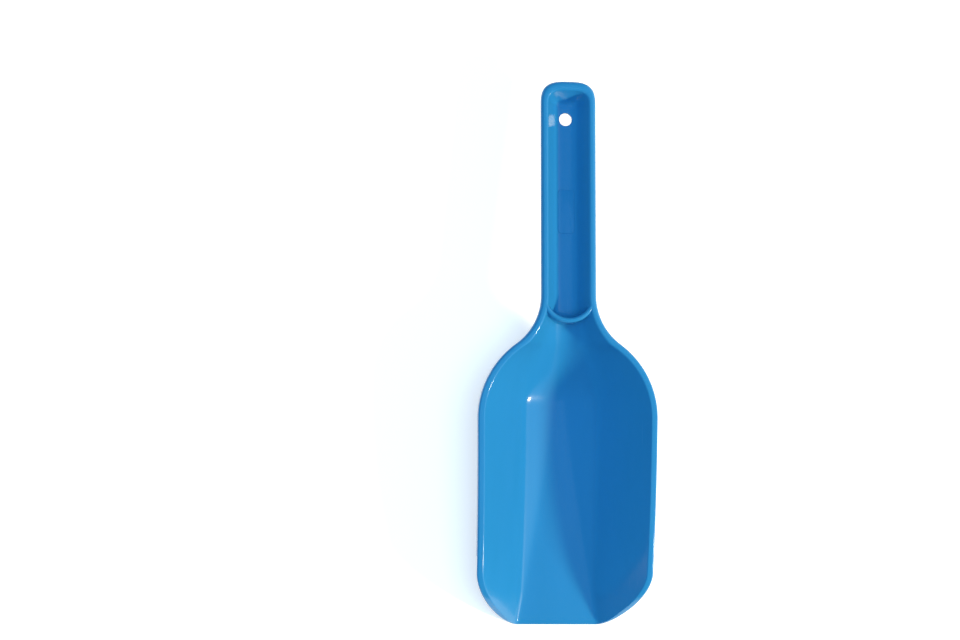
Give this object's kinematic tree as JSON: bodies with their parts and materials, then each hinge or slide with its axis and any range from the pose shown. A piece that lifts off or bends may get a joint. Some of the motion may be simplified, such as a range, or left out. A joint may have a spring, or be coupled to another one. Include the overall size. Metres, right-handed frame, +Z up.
{
  "type": "sand shovel",
  "caption": "One-piece moulded sand scoop: flat-nosed deep pan with a faceted floor, rimmed edge and an open channel handle with a hang hole.",
  "frame": {"origin": "middle of the bounding box in plan, on the plane that the flat pan floor rests on", "axes": "+Z up out of the hollow, +Y along the scoop from the digging edge to the handle end, +X across"},
  "size_m": [0.086, 0.26, 0.0349],
  "materials": {
    "plastic": "glossy injection-moulded polypropylene, blue"
  },
  "bodies": {
    "root": {"digging_lip": "plastic", "scoop_front": "plastic", "scoop_body": "plastic", "scoop_back": "plastic", "left_rim": "plastic", "right_rim": "plastic", "neck_web": "plastic", "handle_channel": "plastic", "handle_end": "plastic", "handle_rim": "plastic", "blank_panel": "plastic"}
  },
  "joints": []
}
